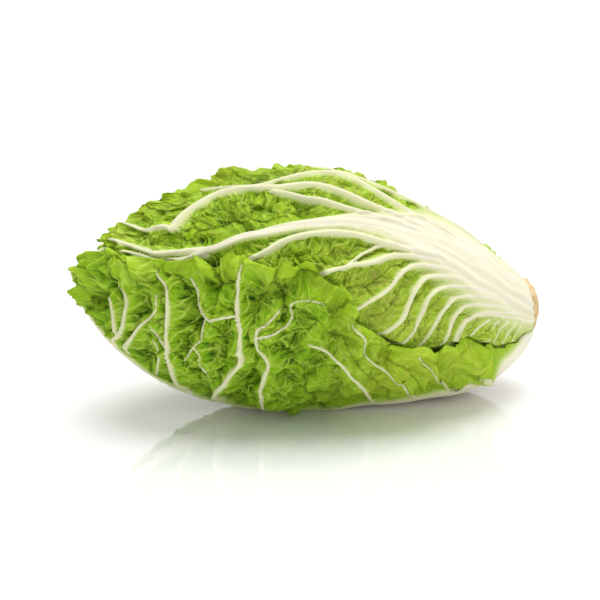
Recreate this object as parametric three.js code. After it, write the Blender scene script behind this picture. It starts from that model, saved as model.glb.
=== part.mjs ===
// A head of napa cabbage lying on its side: leaves wrapped round a short core, each leaf one closed shell.
// Millimetres, +Z up, base of the head towards +X, tips of the leaves towards -X, the front towards -Y.
// The origin is on the surface that the head rests on, under the middle of its bounding box.
import * as THREE from "three";

// The head's outer shape.
const headRadius = 79;
const headWidthShare = 1.03; // width over height
const baseReach = 153; // from the middle of the head to where the base would close
const tipReach = 151;
const baseDroop = 26; // how far the base hangs below the middle, so that the underside lies flat
const tipRise = 15;
const restFlat = 2.5; // how deep the resting spot is pressed in

// The leaves. Depths and thicknesses are shares of the distance to the middle of the head.
const leafStart = 14; // degrees along the profile, 0 at the base and 180 at the tip
const settleAngle = 26; // over these degrees the outer leaves slide from side by side to overlapping
const outerLayers = 3;
const outerPitch = 0.06;
const innerPitch = 0.045;
const basePitch = 0.06;
const bladeShare = 0.42; // blade thickness over layer pitch
const ribShare = 0.68; // midrib thickness over layer pitch
const ribHalfWidth = 34; // degrees either side of the leaf's middle, at the base
const goldenAngle = 137.5;

// The core: a cone inside the leaf bases, cut off flat behind them.
const stumpEnd = 152;
const stumpRadius = 16;
const coreStart = 50;
const coreGap = 1.2; // clearance to the leaf bases

const leafGreen = 0x8fbf3f;
const paleGreen = 0xb9d46a;
const heartYellow = 0xdde08a;
const stemTan = 0xe3cf9c;

const radians = THREE.MathUtils.degToRad;
const { lerp, clamp, smoothstep } = THREE.MathUtils;

// The middle of the head at a distance x along it: the base droops, and the tip rises a little.
function centreHeight(x) {
  const towardsBase = clamp(x / baseReach, 0, 1);
  const towardsTip = clamp(-x / tipReach, 0, 1);
  return (-baseDroop * (1 - Math.cos(Math.PI * towardsBase))) / 2 + tipRise * towardsTip ** 4;
}

// A point on the head's outer surface, relative to the middle of the head. Along and around are in
// degrees: along runs from the base to the tip, around is 0 at the front and 90 at the top.
function surfacePoint(along, around) {
  const c = Math.cos(radians(along));
  const x = c * (c > 0 ? baseReach : tipReach);
  const fullness = c > 0 ? (1 - c ** 1.5) ** 0.46 : (1 - c ** 2) ** 0.62;
  const r = headRadius * fullness;
  const y = -r * headWidthShare * Math.cos(radians(around));
  const z = centreHeight(x) + r * Math.sin(radians(around));
  return new THREE.Vector3(x, y, Math.max(z, restFlat - headRadius));
}

// How far in a layer lies at a place along the head. The outer leaves stand side by side at the base.
function layerDepth(layer, along) {
  const inner = Math.max(layer - outerLayers, 0);
  const middle = outerPitch * Math.min(layer, outerLayers) + innerPitch * inner;
  const atBase = basePitch * Math.max(layer - outerLayers + 1, 0);
  return lerp(atBase, middle, smoothstep(along, leafStart, leafStart + settleAngle));
}

// A value given at evenly spaced places along a leaf, read smoothly at a share of the way.
function reading(stations, share) {
  const place = clamp(share, 0, 1) * (stations.length - 1);
  const i = Math.min(Math.floor(place), stations.length - 2);
  return lerp(stations[i], stations[i + 1], smoothstep(place - i, 0, 1));
}

// A closed shell from a grid of outer points, a grid of inner points and the rim between them.
function shellGeometry(rows, columns, outerPoint, innerPoint) {
  const positions = [];
  for (const point of [outerPoint, innerPoint])
    for (let i = 0; i <= rows; i++)
      for (let j = 0; j <= columns; j++) positions.push(...point(i / rows, (2 * j) / columns - 1).toArray());
  const sheet = (rows + 1) * (columns + 1);
  const at = (i, j) => i * (columns + 1) + j;
  const index = [];
  const quad = (a, b, c, d) => index.push(a, b, c, a, c, d);
  for (let i = 0; i < rows; i++)
    for (let j = 0; j < columns; j++) {
      quad(at(i, j), at(i, j + 1), at(i + 1, j + 1), at(i + 1, j));
      quad(sheet + at(i, j), sheet + at(i + 1, j), sheet + at(i + 1, j + 1), sheet + at(i, j + 1));
    }
  const rim = [];
  for (let j = 0; j < columns; j++) rim.push(at(0, j));
  for (let i = 0; i < rows; i++) rim.push(at(i, columns));
  for (let j = columns; j > 0; j--) rim.push(at(rows, j));
  for (let i = rows; i > 0; i--) rim.push(at(i, 0));
  rim.forEach((a, n) => {
    const b = rim[(n + 1) % rim.length];
    quad(b, a, sheet + a, sheet + b);
  });
  const geometry = new THREE.BufferGeometry();
  geometry.setAttribute("position", new THREE.Float32BufferAttribute(positions, 3));
  geometry.setIndex(index);
  geometry.computeVertexNormals();
  return geometry;
}

// One leaf. Its heading is where its midrib runs round the head, and low and high are how far the blade
// spreads to each side, all in degrees at even stations from the base to the tip of the leaf.
function leafMesh({ name, layer, heading, low, high, reach, tipRound, grid, colour }) {
  const pitch = layer < outerLayers ? outerPitch : innerPitch;
  const place = (share, side) => {
    const along = leafStart + (reach - leafStart) * share * (1 - tipRound * Math.abs(side) ** 2.5);
    const spread = side < 0 ? reading(low, share) : reading(high, share);
    return { along, around: reading(heading, share) + side * spread, off: Math.abs(side) * spread };
  };
  const outer = (share, side) => {
    const { along, around } = place(share, side);
    return surfacePoint(along, around).multiplyScalar(1 - layerDepth(layer, along));
  };
  const inner = (share, side) => {
    const { along, around, off } = place(share, side);
    const onRib = 1 - smoothstep(off, 0, lerp(2 * ribHalfWidth, ribHalfWidth / 3, share));
    const thickness = pitch * lerp(bladeShare, ribShare, onRib);
    return surfacePoint(along, around).multiplyScalar(1 - layerDepth(layer, along) - thickness);
  };
  const material = new THREE.MeshStandardMaterial({ color: colour, roughness: 0.5, metalness: 0 });
  const mesh = new THREE.Mesh(shellGeometry(grid[0], grid[1], outer, inner), material);
  mesh.name = name;
  return mesh;
}

// The leaves that show on the outside, outermost first.
const outerLeaves = [
  {
    name: "bottom_leaf",
    layer: 0,
    heading: [-84, -84, -82, -80, -78],
    low: [50, 72, 95, 100, 88],
    high: [50, 44, 92, 104, 98],
    reach: 170,
    tipRound: 0.06,
  },
  {
    name: "front_leaf",
    layer: 1,
    heading: [28, 46, 43, 30, 14],
    low: [54, 88, 96, 96, 92],
    high: [58, 58, 66, 76, 84],
    reach: 167,
    tipRound: 0.06,
  },
  {
    name: "back_leaf",
    layer: 2,
    heading: [158, 156, 156, 158, 164],
    low: [62, 74, 84, 88, 88],
    high: [54, 66, 84, 96, 100],
    reach: 169,
    tipRound: 0.06,
  },
];

// The leaves inside, each turned by the golden angle from the one outside it.
const innerLeafNames = [
  "upper_wrapper_leaf",
  "back_wrapper_leaf",
  "front_wrapper_leaf",
  "inner_leaf_1",
  "inner_leaf_2",
  "inner_leaf_3",
  "inner_leaf_4",
  "inner_leaf_5",
  "inner_leaf_6",
];

function innerLeaf(name, n) {
  const turn = 95 + goldenAngle * n;
  return {
    name,
    layer: outerLayers + n,
    heading: [turn, turn, turn],
    low: [58, 96, 84],
    high: [58, 96, 84],
    reach: 168,
    tipRound: 0.08,
    grid: n < 3 ? [12, 14] : [10, 12],
    colour: n < 3 ? paleGreen : heartYellow,
  };
}

// The innermost leaves, too small and tight to tell apart, as one closed bud.
function heartBud() {
  const layer = outerLayers + innerLeafNames.length;
  const steps = 10;
  const sides = 14;
  const positions = [];
  const rings = [];
  for (let i = 0; i <= steps; i++) {
    const along = lerp(40, 170, i / steps);
    const scale = 1 - layerDepth(layer, along);
    for (let j = 0; j < sides; j++)
      positions.push(...surfacePoint(along, (360 * j) / sides).multiplyScalar(scale).toArray());
    rings.push(i * sides);
  }
  const index = [];
  for (let i = 0; i < steps; i++)
    for (let j = 0; j < sides; j++) {
      const next = (j + 1) % sides;
      const [a, b] = [rings[i], rings[i + 1]];
      index.push(a + j, a + next, b + next, a + j, b + next, b + j);
    }
  for (let j = 1; j < sides - 1; j++) {
    index.push(0, j + 1, j);
    index.push(rings[steps], rings[steps] + j, rings[steps] + j + 1);
  }
  const geometry = new THREE.BufferGeometry();
  geometry.setAttribute("position", new THREE.Float32BufferAttribute(positions, 3));
  geometry.setIndex(index);
  geometry.computeVertexNormals();
  const mesh = new THREE.Mesh(geometry, new THREE.MeshStandardMaterial({ color: heartYellow, roughness: 0.5 }));
  mesh.name = "heart_bud";
  return mesh;
}

// The core with its cut stump: rings that follow the droop of the base, inside the leaf bases.
function stemCore() {
  const sides = 20;
  const startSection = surfacePoint(leafStart, 90);
  const startRadius = startSection.z - centreHeight(startSection.x);
  const innermost = 1 - layerDepth(outerLayers + innerLeafNames.length - 1, leafStart);
  const sections = [];
  for (const share of [1, 0.9, 0.8, 0.7, 0.6, innermost])
    sections.push({
      x: startSection.x * share,
      z: centreHeight(startSection.x) * share,
      r: startRadius * share - coreGap,
    });
  const neck = sections[0];
  sections.unshift({ x: stumpEnd, z: neck.z, r: stumpRadius }, { x: neck.x + 1.5, z: neck.z, r: stumpRadius });
  sections.push({ x: coreStart, z: centreHeight(coreStart) * innermost, r: 3 });
  const positions = [];
  for (const { x, z, r } of sections)
    for (let j = 0; j < sides; j++) {
      const turn = (2 * Math.PI * j) / sides;
      positions.push(x, -r * Math.cos(turn), z + r * Math.sin(turn));
    }
  const index = [];
  for (let i = 0; i < sections.length - 1; i++)
    for (let j = 0; j < sides; j++) {
      const next = (j + 1) % sides;
      const [a, b] = [i * sides, (i + 1) * sides];
      index.push(a + j, a + next, b + next, a + j, b + next, b + j);
    }
  const last = (sections.length - 1) * sides;
  for (let j = 1; j < sides - 1; j++) {
    index.push(0, j + 1, j);
    index.push(last, last + j, last + j + 1);
  }
  const geometry = new THREE.BufferGeometry();
  geometry.setAttribute("position", new THREE.Float32BufferAttribute(positions, 3));
  geometry.setIndex(index);
  geometry.computeVertexNormals();
  const mesh = new THREE.Mesh(geometry, new THREE.MeshStandardMaterial({ color: stemTan, roughness: 0.75 }));
  mesh.name = "stem_core";
  return mesh;
}

const cabbage = new THREE.Group();
for (const leaf of outerLeaves) cabbage.add(leafMesh({ ...leaf, grid: [16, 18], colour: leafGreen }));
innerLeafNames.forEach((name, n) => cabbage.add(leafMesh(innerLeaf(name, n))));
cabbage.add(heartBud());
cabbage.add(stemCore());

// Stand the head on the surface, with the origin under the middle of its box.
const box = new THREE.Box3().setFromObject(cabbage);
const middle = box.getCenter(new THREE.Vector3());
const stood = new THREE.Group();
cabbage.position.set(-middle.x, -middle.y, -box.min.z);
stood.add(cabbage);

export default stood;
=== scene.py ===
# Napa cabbage on its side: each leaf is a sheet laid on a nest of shells, with its own ribs, veins and frill
import math

import bpy
import numpy as np
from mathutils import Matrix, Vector


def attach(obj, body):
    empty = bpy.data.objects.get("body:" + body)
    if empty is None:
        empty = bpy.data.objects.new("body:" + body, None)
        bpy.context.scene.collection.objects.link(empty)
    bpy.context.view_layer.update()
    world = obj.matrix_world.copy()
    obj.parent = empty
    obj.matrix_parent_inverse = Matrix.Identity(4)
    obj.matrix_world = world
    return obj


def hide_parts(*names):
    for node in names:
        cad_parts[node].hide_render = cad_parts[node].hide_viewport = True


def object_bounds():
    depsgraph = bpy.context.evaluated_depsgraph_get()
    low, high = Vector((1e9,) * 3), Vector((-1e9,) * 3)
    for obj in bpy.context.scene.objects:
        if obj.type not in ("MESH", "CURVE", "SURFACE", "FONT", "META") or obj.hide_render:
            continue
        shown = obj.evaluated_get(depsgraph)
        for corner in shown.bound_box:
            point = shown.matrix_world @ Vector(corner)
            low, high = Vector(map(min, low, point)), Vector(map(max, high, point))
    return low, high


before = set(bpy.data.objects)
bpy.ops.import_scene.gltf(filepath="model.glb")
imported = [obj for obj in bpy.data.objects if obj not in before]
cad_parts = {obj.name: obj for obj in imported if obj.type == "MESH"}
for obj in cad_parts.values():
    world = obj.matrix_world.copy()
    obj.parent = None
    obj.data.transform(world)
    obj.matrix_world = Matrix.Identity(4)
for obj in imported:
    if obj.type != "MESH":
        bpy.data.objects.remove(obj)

cadLow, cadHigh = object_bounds()

# the head, in mm on the frame's axes; along is 0 at the base and 180 at the tip, around is 0 at the front and
# 90 on top, both in degrees
head = {
    "radius": 79.0,
    "widthShare": 1.03,
    "baseReach": 153.0,
    "tipReach": 151.0,
    "baseDroop": 26.0,
    "tipRise": 15.0,
    "restFlat": 2.5,
    "stumpEnd": 152.0,
    "leafStart": 14.0,
    "settle": 26.0,
    "outerPitch": 0.06,
    "innerPitch": 0.045,
    "basePitch": 0.06,
    "basePower": 1.5,
    "baseBluntness": 0.46,
    "tipBluntness": 0.62,
}
headMiddle = np.array([
    cadHigh.x * 1000 - head["stumpEnd"],
    (cadLow.y + cadHigh.y) * 500,
    head["radius"] - head["restFlat"],
])


def smooth(x, low, high):
    t = np.clip((x - low) / (high - low), 0, 1)
    return t * t * (3 - 2 * t)


def profileRadius(along):
    c = np.cos(np.radians(along))
    base = (1 - np.clip(c, 0, 1) ** head["basePower"]) ** head["baseBluntness"]
    tip = (1 - c * c) ** head["tipBluntness"]
    return head["radius"] * np.where(c > 0, base, tip)


def headPoint(along, around):
    c = np.cos(np.radians(along))
    x = c * np.where(c > 0, head["baseReach"], head["tipReach"])
    towardsBase = np.clip(x / head["baseReach"], 0, 1)
    towardsTip = np.clip(-x / head["tipReach"], 0, 1)
    middle = head["tipRise"] * towardsTip ** 4 - head["baseDroop"] * (1 - np.cos(math.pi * towardsBase)) / 2
    r = profileRadius(along)
    y = -r * head["widthShare"] * np.cos(np.radians(around))
    z = middle + r * np.sin(np.radians(around))
    return np.stack([x, y, z], -1)


def headNormal(along, around):
    alongStep = headPoint(along + 0.3, around) - headPoint(along - 0.3, around)
    aroundStep = headPoint(along, around + 0.3) - headPoint(along, around - 0.3)
    n = np.cross(alongStep, aroundStep)
    n *= np.sign(np.sum(n * headPoint(along, around), -1, keepdims=True))
    return n / np.linalg.norm(n, axis=-1, keepdims=True)


def layerDepth(layer, along):
    inner = max(layer - 3, 0)
    middle = head["outerPitch"] * min(layer, 3) + head["innerPitch"] * inner
    atBase = head["basePitch"] * max(layer - 2, 0)
    settled = smooth(along, head["leafStart"], head["leafStart"] + head["settle"])
    return atBase + (middle - atBase) * settled


# mm along the profile for each degree, so that veins keep their width
profileAngles = np.arange(5.0, 176.0, 1.0)
profileSteps = np.diff(headPoint(profileAngles, 0 * profileAngles + 90.0), axis=0)
profileLengths = np.concatenate([[0], np.cumsum(np.linalg.norm(profileSteps, axis=1))])


def lengthAt(along):
    return np.interp(along, profileAngles, profileLengths)


def angleAt(length):
    return np.interp(length, profileLengths, profileAngles)


def valueAt(pairs, along):  # a line given as (along, value) pairs, read smoothly
    a, v = np.array(pairs, float).T
    i = np.clip(np.searchsorted(a, along) - 1, 0, len(a) - 2)
    return v[i] + (v[i + 1] - v[i]) * smooth(along, a[i], a[i + 1])


def waves(points, size, seed, count=28):  # a smooth random swell around 0, about size from crest to crest
    random = np.random.default_rng(seed)
    ways = random.normal(size=(count, 3))
    ways /= np.linalg.norm(ways, axis=1, keepdims=True)
    ways *= 2 * math.pi / (size * random.uniform(0.75, 1.35, (count, 1)))
    turns = random.uniform(0, 2 * math.pi, count)
    flat = points.reshape(-1, 3)
    total = np.zeros(len(flat))
    for way, turn in zip(ways, turns):
        total += np.sin(flat @ way + turn)
    return (total * math.sqrt(2 / count)).reshape(points.shape[:-1])


def creases(points, size, seed):  # thin winding crests, 0 to 1
    return (1 - np.minimum(abs(waves(points, size, seed)) * 1.1, 1)) ** 1.5


def blurred(field, passes):  # over the grid's neighbours
    for _ in range(passes):
        p = np.pad(field, 1, mode="edge")
        field = (p[:-2, 1:-1] + p[2:, 1:-1] + p[1:-1, :-2] + p[1:-1, 2:] + 4 * p[1:-1, 1:-1]) / 8
    return field


# veins: each a short list of (along, around) spots with a half width and a height at its two ends, in mm
def smoothPath(spots, steps=6):
    p = np.array(spots, float)
    p = np.vstack([2 * p[0] - p[1], p, 2 * p[-1] - p[-2]])
    out = []
    for i in range(1, len(p) - 2):
        for k in range(steps):
            t = k / steps
            out.append(0.5 * (2 * p[i] + (p[i + 1] - p[i - 1]) * t
                              + (2 * p[i - 1] - 5 * p[i] + 4 * p[i + 1] - p[i + 2]) * t * t
                              + (3 * p[i] - p[i - 1] - 3 * p[i + 1] + p[i + 2]) * t ** 3))
    out.append(p[-2])
    return np.array(out)


def vein(spots, width, height):
    path = smoothPath(spots)
    share = np.linspace(0, 1, len(path))
    return {
        "path": path,
        "width": width[0] + (width[1] - width[0]) * share,
        "height": (height[0] + (height[1] - height[0]) * share) * (0.3 + 0.7 * smooth(share, 0, 0.15)),
    }


# small veins that leave a bigger one on alternate sides: how they lean and bend, in radians, and their length
twig = {"lean": (0.55, 0.95), "bend": (-0.35, 0.2), "length": (0.6, 1.1), "width": (0.8, 0.55),
        "height": (1.1, 0.5)}


def twigs(parent, random, count, reach):
    made = []
    path = parent["path"]
    side = 1 if random.uniform() < 0.5 else -1
    for k in range(count):
        share = (k + 0.9) / (count + 0.6)
        i = min(int(share * (len(path) - 1)), len(path) - 2)
        start = path[i]
        r = float(profileRadius(start[0]))
        stepAlong = lengthAt(path[i + 1][0]) - lengthAt(start[0])
        stepAround = math.radians(path[i + 1][1] - start[1]) * r
        heading = math.atan2(stepAround, stepAlong) + side * random.uniform(*twig["lean"])
        length = reach * random.uniform(*twig["length"])
        bend = side * random.uniform(*twig["bend"])
        spots = [start]
        for far in (0.35, 0.7, 1.0):
            turn = heading + bend * far
            mmAlong = lengthAt(start[0]) + length * far * math.cos(turn)
            mmAround = length * far * math.sin(turn)
            spots.append([float(angleAt(mmAlong)), start[1] + math.degrees(mmAround / r)])
        made.append(vein(spots, twig["width"], twig["height"]))
        side = -side
    return made


# every other lateral is narrower
lateral = {"width": 2.5, "tipWidth": 0.9, "smaller": 0.72, "height": (3.3, 1.3), "wobble": 0.2,
           "reach": (0.82, 0.95), "sweep": (0.85, 1.15), "underRib": 0.35, "runIn": 14}


def ruleVeins(leaf, random):  # laterals by rule, for a leaf or a side of it that has none chosen
    made = []
    rules = leaf["laterals"]
    for side in rules["sides"]:
        count = rules["count"]
        for k in range(count):
            place = k + random.uniform(-lateral["wobble"], lateral["wobble"])
            a0 = rules["first"] + (rules["last"] - rules["first"]) * place / (count - 1)
            middle = float(valueAt(leaf["midrib"], a0))
            halfRib = float(valueAt(leaf["ribWidth"], a0))
            r = float(profileRadius(a0))
            reachOut = float(valueAt(leaf["high" if side > 0 else "low"], min(a0 + 20, 165))) - middle
            reachOut = abs(reachOut) * random.uniform(*lateral["reach"])
            inside = math.degrees(lateral["underRib"] * halfRib / r)
            sweep = random.uniform(*lateral["sweep"]) * rules["sweep"]
            spots = [[a0 - lateral["runIn"], middle + side * inside * 0.7],
                     [a0, middle + side * (inside + 1)]]
            for u in (0.25, 0.5, 0.75, 1.0):
                out = inside + (reachOut - inside) * u ** 1.15
                spots.append([min(a0 + sweep * u ** 0.7, leaf["reach"] - 2), middle + side * out])
            big = 1.0 if k % 2 == 0 else lateral["smaller"]
            made.append(vein(spots, (lateral["width"] * big, lateral["tipWidth"]), lateral["height"]))
    return made


# where no vein is near, ratio and distance stay at their farthest; apart sets the rungs of each vein off
laying = {"farRatio": 9.0, "farAway": 60.0, "widths": 3, "beyond": 12, "apart": 7.3, "roundness": 2.6}


def layVeins(veins, along, around):
    # distance to the nearest vein over its half width, distance in mm, the height that the veins stand, and
    # where along which vein the nearest point is
    X, T, R = lengthAt(along).ravel(), around.ravel(), np.radians(profileRadius(along)).ravel()
    ratio, near = np.full(X.shape, laying["farRatio"]), np.full(X.shape, laying["farAway"])
    stand, rung = np.zeros(X.shape), np.zeros(X.shape + (3,))
    for number, v in enumerate(veins):
        wide, tall = v["width"], v["height"]
        px, pt = lengthAt(v["path"][:, 0]), v["path"][:, 1]
        reach = laying["widths"] * wide.max() + laying["beyond"]
        rows = np.where((X > px.min() - reach) & (X < px.max() + reach)
                        & ((T - pt.max()) * R < reach) & ((pt.min() - T) * R < reach))[0]
        if not len(rows):
            continue
        x, t, r = X[rows], T[rows], R[rows]
        best, distance = np.full(len(rows), 1e9), np.full(len(rows), laying["farAway"])
        height, spot = np.zeros(len(rows)), np.zeros(len(rows))
        walked = 0.0
        for i in range(len(px) - 1):
            ax, ay = px[i] - x, (pt[i] - t) * r
            sx, sy = px[i + 1] - px[i], (pt[i + 1] - pt[i]) * r
            k = np.clip(-(ax * sx + ay * sy) / (sx * sx + sy * sy + 1e-9), 0, 1)
            d = np.hypot(ax + k * sx, ay + k * sy)
            share = d / (wide[i] + (wide[i + 1] - wide[i]) * k)
            closer = share < best
            best = np.where(closer, share, best)
            distance = np.where(closer, d, distance)
            height = np.where(closer, tall[i] + (tall[i + 1] - tall[i]) * k, height)
            step = math.hypot(sx, sy.mean())
            spot = np.where(closer, walked + step * k, spot)
            walked += step
        nearest = distance < near[rows]
        rung[rows[nearest]] = np.stack([spot, distance, 0 * spot + laying["apart"] * number], -1)[nearest]
        ratio[rows] = np.minimum(ratio[rows], best)
        near[rows] = np.minimum(near[rows], distance)
        stand[rows] = np.maximum(stand[rows], height * np.exp(-np.minimum(best, 6) ** laying["roundness"]))
    return [field.reshape(along.shape + field.shape[1:]) for field in (ratio, near, stand, rung)]


# how low the leaves laid so far reach, so that the next one stays under them; the steps are in degrees
roof = {"alongStep": 1.0, "aroundStep": 1.5, "rows": 181, "columns": 240, "open": 1.08}
roof["map"] = np.full((roof["rows"], roof["columns"]), roof["open"])


def roofOver(along, around):
    a = np.clip(along / roof["alongStep"], 0, roof["rows"] - 1.001)
    t = np.mod(around, 360) / roof["aroundStep"]
    i, j = a.astype(int), t.astype(int) % roof["columns"]
    u, v = a - i, t - np.floor(t)
    m = roof["map"]
    k = (j + 1) % roof["columns"]
    return (m[i, j] * (1 - u) + m[i + 1, j] * u) * (1 - v) + (m[i, k] * (1 - u) + m[i + 1, k] * u) * v


def addToRoof(along, around, depth):
    m = np.full(roof["map"].shape, roof["open"])
    i = np.clip(np.round(along / roof["alongStep"]).astype(int), 0, roof["rows"] - 1)
    j = np.round(np.mod(around, 360) / roof["aroundStep"]).astype(int) % roof["columns"]
    np.minimum.at(m, (i, j), depth)
    for axis in (0, 1):
        m = np.minimum(m, np.minimum(np.roll(m, 1, axis), np.roll(m, -1, axis)))
    for axis in (0, 1):
        m = (np.roll(m, 1, axis) + 2 * m + np.roll(m, -1, axis)) / 4
    roof["map"] = np.minimum(roof["map"], m)


def placed(name, data):
    made = bpy.data.objects.new(name, data)
    bpy.context.scene.collection.objects.link(made)
    return made


def closedSheet(name, outer, thickness, outward, values):
    # the outer side at full detail, the inner side at half, and the rim between them
    rows, columns = outer.shape[0] - 1, outer.shape[1] - 1
    n = np.cross(np.gradient(outer, axis=0), np.gradient(outer, axis=1))
    n /= np.linalg.norm(n, axis=-1, keepdims=True) + 1e-9
    flip = bool(np.sum(n * outward) < 0)
    if flip:
        n = -n
    inner = (outer - n * thickness[..., None])[::2, ::2]
    fine = np.arange((rows + 1) * (columns + 1)).reshape(rows + 1, columns + 1)
    half = (rows // 2 + 1, columns // 2 + 1)
    coarse = fine.size + np.arange(half[0] * half[1]).reshape(half)

    def quads(g, turned):
        q = np.stack([g[:-1, :-1], g[1:, :-1], g[1:, 1:], g[:-1, 1:]], -1).reshape(-1, 4)
        return q[:, ::-1] if turned else q

    def ring(g):
        return np.concatenate([g[0, :-1], g[:-1, -1], g[-1, :0:-1], g[:0:-1, 0]])

    a, b = ring(fine), ring(coarse)
    a0, a1, a2 = a[0::2], a[1::2], np.roll(a, -2)[0::2]
    b1 = np.roll(b, -1)
    rim = np.concatenate([np.stack([a0, a1, b], -1), np.stack([a1, a2, b1], -1), np.stack([a1, b1, b], -1)])
    if flip:
        rim = rim[:, ::-1]
    faces = [quads(fine, flip), quads(coarse, not flip), rim]
    points = np.concatenate([outer.reshape(-1, 3), inner.reshape(-1, 3)])
    mesh = bpy.data.meshes.new(name + "_sheet")
    mesh.from_pydata((points + headMiddle) * 0.001, [], [f for part in faces for f in part.tolist()])
    mesh.validate()
    for key, value in values.items():
        both = np.concatenate([value.reshape(fine.size, -1), value[::2, ::2].reshape(coarse.size, -1)])
        kind = "FLOAT_VECTOR" if both.shape[1] == 3 else "FLOAT"
        layer = mesh.attributes.new(key, kind, "POINT").data
        layer.foreach_set("vector" if kind == "FLOAT_VECTOR" else "value", both.astype(np.float32).ravel())
    # on the map the outer side lies below and the inner side above it
    u, v = np.meshgrid(np.linspace(0.01, 0.99, columns + 1), np.linspace(0.01, 0.64, rows + 1))
    uOuter = np.stack([u, v], -1)
    uInner = np.stack([u[::2, ::2], 0.67 + (v[::2, ::2] - 0.01) * 0.5], -1)
    spots = np.concatenate([uOuter.reshape(-1, 2), uInner.reshape(-1, 2)])
    uvMap = mesh.uv_layers.new(name="OFBake")
    corners = np.zeros(len(mesh.loops), np.int32)
    mesh.loops.foreach_get("vertex_index", corners)
    uvMap.data.foreach_set("uv", spots[corners].astype(np.float32).ravel())
    mesh.shade_smooth()
    return placed(name + "_sheet", mesh)


class nodeKit:  # short ways to add and join the nodes of any tree
    def __init__(self, tree):
        self.tree = tree

    def put(self, socket, value):
        if isinstance(value, bpy.types.NodeSocket):
            self.tree.links.new(value, socket)
        else:
            socket.default_value = value

    def add(self, kind, inputs=None, **settings):
        node = self.tree.nodes.new(kind)
        for key, value in settings.items():
            setattr(node, key, value)
        for label, value in (inputs or {}).items():
            self.put(node.inputs[label], value)
        return node

    def sums(self, operation, *values):
        return self.add("ShaderNodeMath", dict(enumerate(values)), operation=operation).outputs[0]

    def vectors(self, operation, *values):
        return self.add("ShaderNodeVectorMath", dict(enumerate(values)), operation=operation).outputs[0]

    def spread(self, value, low, high, toLow=0.0, toHigh=1.0):
        labels = ("Value", "From Min", "From Max", "To Min", "To Max")
        inputs = dict(zip(labels, (value, low, high, toLow, toHigh)))
        return self.add("ShaderNodeMapRange", inputs, interpolation_type="SMOOTHSTEP").outputs["Result"]

    def mix(self, factor, a, b):
        node = self.add("ShaderNodeMix", {"Factor": factor, "A": a, "B": b}, data_type="RGBA")
        return node.outputs["Result"]

    def noise(self, where, scale, detail):
        return self.add("ShaderNodeTexNoise", {"Vector": where, "Scale": scale, "Detail": detail})

    def attribute(self, key, output="Fac"):
        return self.add("ShaderNodeAttribute", attribute_name=key).outputs[output]

    def group(self, tree, output, **values):
        return self.add("ShaderNodeGroup", values, node_tree=tree).outputs[output]

    def wander(self, where, size=9.0, reach=7.0):  # the same place, pulled about by up to half the reach
        drift = self.noise(where, 1 / size, 2.0).outputs["Color"]
        centred = self.vectors("SUBTRACT", drift, (0.5, 0.5, 0.5))
        return self.vectors("MULTIPLY_ADD", centred, (reach, reach, reach), where)

    def cells(self, where, size, seed):  # 0 on the lines between wandering cells, more away from them
        inputs = {"Vector": self.wander(where), "W": seed, "Scale": self.sums("DIVIDE", 1.0, size)}
        node = self.add("ShaderNodeTexVoronoi", inputs, voronoi_dimensions="4D", feature="DISTANCE_TO_EDGE")
        return node.outputs["Distance"]

    def folds(self, where, size, seed):  # 0 along winding lines, more away from them
        inputs = {"Vector": where, "W": seed, "Scale": self.sums("DIVIDE", 1.0, size), "Detail": 1.0}
        node = self.add("ShaderNodeTexNoise", inputs, noise_dimensions="4D")
        return self.sums("ABSOLUTE", self.sums("SUBTRACT", node.outputs["Fac"], 0.5))


def crinkles(paintedShade, blister, wrinkle, seed):  # each of the three is its size and depth in mm
    made = {"Seed": seed}
    for kind, (size, depth) in {"Pocket": paintedShade, "Blister": blister, "Wrinkle": wrinkle}.items():
        made |= {kind + " Size": size, kind + " Depth": depth}
    return made


# fine crinkling, by a node tree: pockets between raised veinlets, then smaller blisters and winding wrinkles
crinkleShape = {
    "start": crinkles((10.0, 1.6), (4.2, 0.6), (5.0, 1.0), 3.0),
    "pocketRim": 0.34,  # how far a cell's wall slopes in, as a share of the cell
    "blisterRim": 0.4,
    "wrinkleSlope": 5.0,
}


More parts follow.
